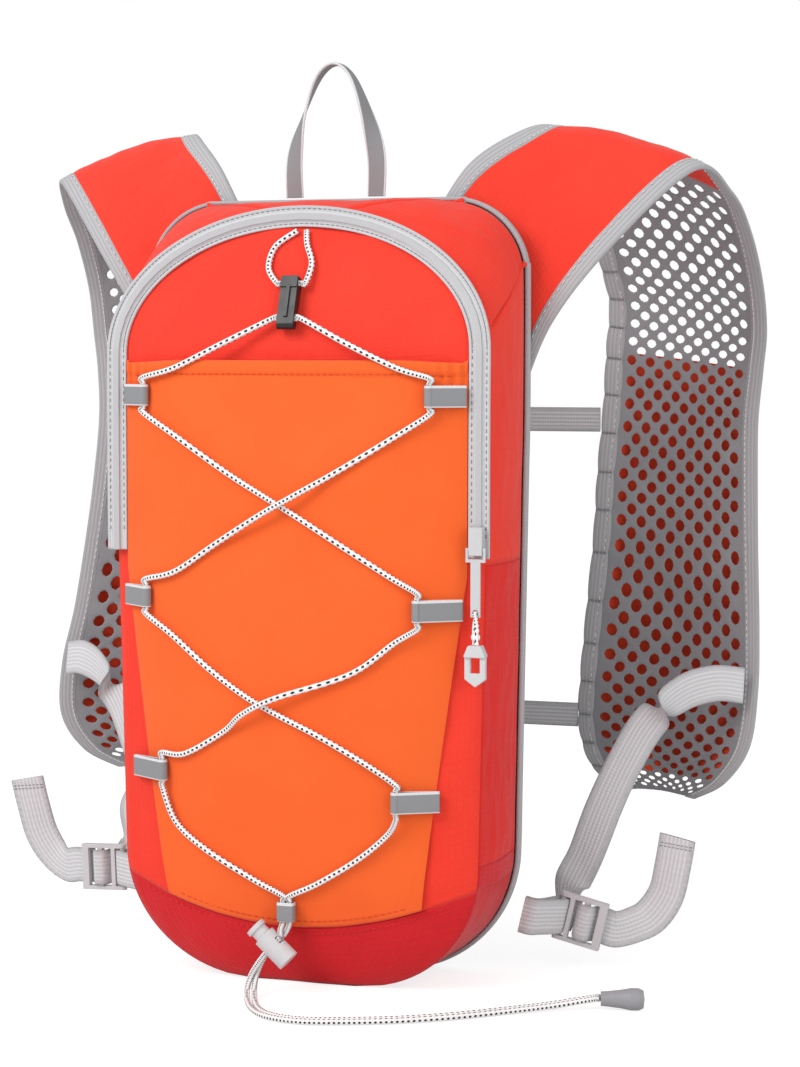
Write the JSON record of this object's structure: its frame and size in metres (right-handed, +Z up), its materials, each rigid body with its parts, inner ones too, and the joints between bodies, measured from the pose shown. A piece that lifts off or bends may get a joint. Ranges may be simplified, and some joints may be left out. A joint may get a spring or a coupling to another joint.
{
  "type": "hydration pack",
  "caption": "Slim laced hydration pack with a mesh vest harness, arched zip, stretch pocket, cord lock, sternum straps and side adjusters.",
  "frame": {"origin": "middle of the flat base that the pack stands on, below the middle of the main room", "axes": "+Z up, -Y out of the laced front, +Y towards the wearer and the chest panels, +X to the right of someone facing the laced front"},
  "size_m": [0.4236, 0.2976, 0.482],
  "materials": {
    "red_cloth": "matte ripstop nylon",
    "side_red_cloth": "matte ripstop nylon",
    "boot_cloth": "coated nylon",
    "orange_stretch": "matte stretch nylon",
    "back_mesh": "spacer mesh over foam",
    "grey_tape": "woven binding tape",
    "zip_cloth": "woven zip tape",
    "coil": "satin",
    "grey_metal": "satin",
    "flecked_cord": "braided elastic with dark flecks",
    "reflective_web": "reflective tape on webbing",
    "black_plastic": "satin",
    "grey_plastic": "satin",
    "bell_plastic": "satin",
    "spring_steel": "plain",
    "air_mesh": "open air mesh",
    "chest_cloth": "matte ripstop nylon",
    "light_web": "woven nylon webbing",
    "grey_web": "woven nylon webbing",
    "dark_plastic": "satin",
    "reservoir_film": "clear film",
    "cap_plastic": "satin",
    "sleeve_cloth": "thin nylon lining"
  },
  "bodies": {
    "pack": {"back_panel": "back_mesh", "edge_tape": "grey_tape", "upper_gusset": "red_cloth", "side_panels": "side_red_cloth", "boot_panel": "boot_cloth", "front_panel": "red_cloth", "stretch_pocket": "orange_stretch", "zip_tape": "zip_cloth", "zip_coil": "coil", "lacing_loops": "reflective_web", "bottom_loop": "reflective_web", "lacing_a": "flecked_cord", "lacing_b": "flecked_cord", "hook_cord": "flecked_cord", "cord_hook": "black_plastic", "lock_barrel": "grey_plastic", "lock_spring": "spring_steel", "tail_cord_a": "flecked_cord", "tail_cord_b": "flecked_cord", "cord_bell": "bell_plastic", "yoke_left": "red_cloth", "yoke_right": "red_cloth", "chest_mesh_left": "air_mesh", "chest_mesh_right": "air_mesh", "neck_binding_left": "grey_tape", "neck_binding_right": "grey_tape", "arm_binding_left": "grey_tape", "arm_binding_right": "grey_tape", "chest_pocket_left": "chest_cloth", "chest_pocket_right": "chest_cloth", "chest_web_upper": "grey_web", "chest_web_lower": "grey_web", "socket_web_upper": "grey_web", "socket_web_lower": "grey_web", "socket_upper": "dark_plastic", "socket_lower": "dark_plastic", "side_strap_left": "light_web", "side_strap_right": "light_web", "side_anchor_left": "light_web", "side_anchor_right": "light_web", "reservoir": "reservoir_film", "reservoir_cap": "cap_plastic", "reservoir_sleeve": "sleeve_cloth"},
    "slider": {"zip_slider": "grey_metal"},
    "zip_pull": {"zip_link": "grey_metal", "zip_pull_cord": "flecked_cord", "zip_pull_tab": "grey_plastic"},
    "lock_button": {"lock_button": "grey_plastic"},
    "handle": {"carry_handle": "reflective_web"},
    "plug_top": {"plug_upper": "dark_plastic"},
    "plug_bottom": {"plug_lower": "dark_plastic"},
    "adjuster_left": {"ladderlock_left": "grey_plastic", "strap_tail_left": "light_web"},
    "adjuster_right": {"ladderlock_right": "grey_plastic", "strap_tail_right": "light_web"}
  },
  "joints": [
    {"name": "zip_slide", "type": "slide", "parent": "pack", "child": "slider", "axis": [0, 0, 1], "range_m": [0, 0.092]},
    {"name": "zip_pull_swing", "type": "hinge", "parent": "slider", "child": "zip_pull", "pos_m": [0.0985, -0.03226, 0.231], "axis": [1, 0, 0], "range_deg": [-150, 0]},
    {"name": "cord_lock_press", "type": "slide", "parent": "pack", "child": "lock_button", "axis": [0.7431, 0, -0.6691], "range_m": [0, 0.004], "stiffness_N_per_m": 400, "springref_m": -0.002, "deforming": ["lock_spring"]},
    {"name": "handle_flop", "type": "hinge", "parent": "pack", "child": "handle", "pos_m": [0, 0.038, 0.41115], "axis": [1, 0, 0], "range_deg": [-75, 75], "stiffness_Nm_per_rad": 0.03},
    {"name": "upper_sternum_release", "type": "slide", "parent": "pack", "child": "plug_top", "axis": [-1, 0, 0], "range_m": [0, 0.0155]},
    {"name": "lower_sternum_release", "type": "slide", "parent": "pack", "child": "plug_bottom", "axis": [-1, 0, 0], "range_m": [0, 0.0155]},
    {"name": "left_adjuster_tilt", "type": "hinge", "parent": "pack", "child": "adjuster_left", "pos_m": [-0.13651, 0.06, 0.0374], "axis": [-0.0349, 0, 0.9994], "range_deg": [0, 30]},
    {"name": "right_adjuster_tilt", "type": "hinge", "parent": "pack", "child": "adjuster_right", "pos_m": [0.11979, 0.058, 0.02859], "axis": [0.225, 0, 0.9744], "range_deg": [-30, 0]}
  ]
}
